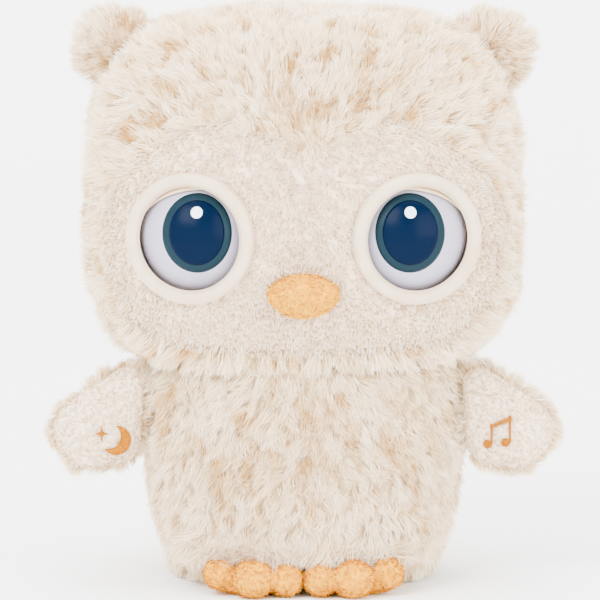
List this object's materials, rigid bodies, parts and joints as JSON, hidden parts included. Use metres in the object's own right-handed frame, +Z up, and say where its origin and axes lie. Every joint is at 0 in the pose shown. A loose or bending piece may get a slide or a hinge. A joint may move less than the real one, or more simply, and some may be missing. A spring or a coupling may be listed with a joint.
{
  "type": "interactive plush pet",
  "caption": "Sitting plush owl soother with big plastic eyes whose lids blink, press-to-play wings, and a sound box behind a back flap.",
  "frame": {"origin": "under the middle of the toy, on the surface it stands on", "axes": "+Z up, the owl faces -Y, its left side is +X"},
  "size_m": [0.168, 0.1191, 0.194],
  "materials": {
    "long_fur": "cream long-pile plush with soft tan mottling",
    "short_plush": "short-pile minky, beige ivory",
    "golden_plush": "short-pile golden orange plush",
    "golden_thread": "satin-stitched embroidery thread",
    "base_cloth": "flat woven cloth",
    "stuffing": "loose polyester filling",
    "grip_tape": "hook and loop tape",
    "bezel_plastic": "satin cream moulding",
    "eye_white": "glossy milky white dome",
    "iris_print": "glossy teal print",
    "pupil_print": "glossy navy print",
    "glint_print": "glossy white print",
    "lid_plastic": "satin cream shell",
    "frame_plastic": "moulded off-white",
    "gear_plastic": "natural acetal",
    "steel": "plain steel",
    "motor_can": "plated gear motor",
    "box_plastic": "fine-textured moulding",
    "cell_wrap": "plain dark sleeve",
    "switch_plastic": "black moulding",
    "cone_paper": "coated cone",
    "circuit_board": "green laminate",
    "wire_cover": "flexible insulation"
  },
  "bodies": {
    "root": {"hood_plush": "long_fur", "ear_left": "long_fur", "ear_right": "long_fur", "body_plush": "long_fur", "face_panel": "short_plush", "beak": "golden_plush", "foot_left": "golden_plush", "foot_right": "golden_plush", "base_panel": "base_cloth", "head_stuffing": "stuffing", "body_stuffing": "stuffing", "loop_tape": "grip_tape", "bezel_left": "bezel_plastic", "bezel_right": "bezel_plastic", "eyeball_left": "eye_white", "eyeball_right": "eye_white", "iris_left": "iris_print", "iris_right": "iris_print", "pupil_left": "pupil_print", "pupil_right": "pupil_print", "eye_glints": "glint_print", "eye_frame": "frame_plastic", "eyeball_carriers": "frame_plastic", "gear_case_left": "frame_plastic", "gear_case_right": "frame_plastic", "pivot_pins": "steel", "gear_case_screws": "steel", "sound_box_screws": "steel", "battery_contacts": "steel", "lid_motor": "motor_can", "sound_box_front": "box_plastic", "sound_box_back": "box_plastic", "batteries": "cell_wrap", "switch_body": "switch_plastic", "speaker": "switch_plastic", "speaker_cone": "cone_paper", "main_board": "circuit_board", "led_boards": "circuit_board", "head_wire_bundle": "wire_cover"},
    "eyelids": {"lid_shaft": "steel", "eyelid_left": "lid_plastic", "eyelid_right": "lid_plastic", "lid_gear": "gear_plastic"},
    "idler": {"idler_gear": "gear_plastic"},
    "motor_output": {"motor_shaft": "steel", "motor_pinion": "gear_plastic"},
    "wing_left": {"wing_back_left": "long_fur", "wing_palm_left": "short_plush", "note_embroidery": "golden_thread", "button_base_left": "frame_plastic"},
    "wing_right": {"wing_back_right": "long_fur", "wing_palm_right": "short_plush", "moon_embroidery": "golden_thread", "button_base_right": "frame_plastic"},
    "note_button": {"button_cap_left": "gear_plastic"},
    "moon_button": {"button_cap_right": "gear_plastic"},
    "flap": {"back_flap": "long_fur", "hook_tape": "grip_tape"},
    "battery_cover": {"battery_door": "box_plastic"},
    "power_knob": {"power_switch_knob": "switch_plastic"}
  },
  "joints": [
    {"name": "eyelid_close", "type": "hinge", "parent": "root", "child": "eyelids", "pos_m": [0, -0.0362, 0.1225], "axis": [1, 0, 0], "range_deg": [0, 108]},
    {"name": "idler_turn", "type": "hinge", "parent": "root", "child": "idler", "pos_m": [0, -0.0182, 0.1225], "axis": [1, 0, 0], "range_deg": [-109, 1]},
    {"name": "motor_turn", "type": "hinge", "parent": "root", "child": "motor_output", "pos_m": [0, -0.0047, 0.1225], "axis": [1, 0, 0], "range_deg": [-1, 217]},
    {"name": "wing_left_lift", "type": "hinge", "parent": "root", "child": "wing_left", "pos_m": [0.06, -0.016, 0.068], "axis": [0, -1, 0], "range_deg": [0, 35], "stiffness_Nm_per_rad": 0.05},
    {"name": "wing_right_lift", "type": "hinge", "parent": "root", "child": "wing_right", "pos_m": [-0.06, -0.016, 0.068], "axis": [0, 1, 0], "range_deg": [0, 35], "stiffness_Nm_per_rad": 0.05},
    {"name": "note_button_press", "type": "slide", "parent": "wing_left", "child": "note_button", "axis": [0, 1, 0], "range_m": [0, 0.0012], "stiffness_N_per_m": 900, "springref_m": -0.0006},
    {"name": "moon_button_press", "type": "slide", "parent": "wing_right", "child": "moon_button", "axis": [0, 1, 0], "range_m": [0, 0.0012], "stiffness_N_per_m": 900, "springref_m": -0.0006},
    {"name": "flap_open", "type": "hinge", "parent": "root", "child": "flap", "pos_m": [0, 0.0476, 0.0685], "axis": [1, 0, 0], "range_deg": [0, 110]},
    {"name": "battery_door_slide", "type": "slide", "parent": "root", "child": "battery_cover", "axis": [0, 0, -1], "range_m": [0, 0.007]},
    {"name": "power_switch_slide", "type": "slide", "parent": "root", "child": "power_knob", "axis": [1, 0, 0], "range_m": [0, 0.003]}
  ],
  "couplings": [
    {"joint": "idler_turn", "follows": "eyelid_close", "ratio": -1},
    {"joint": "motor_turn", "follows": "eyelid_close", "ratio": 2}
  ]
}
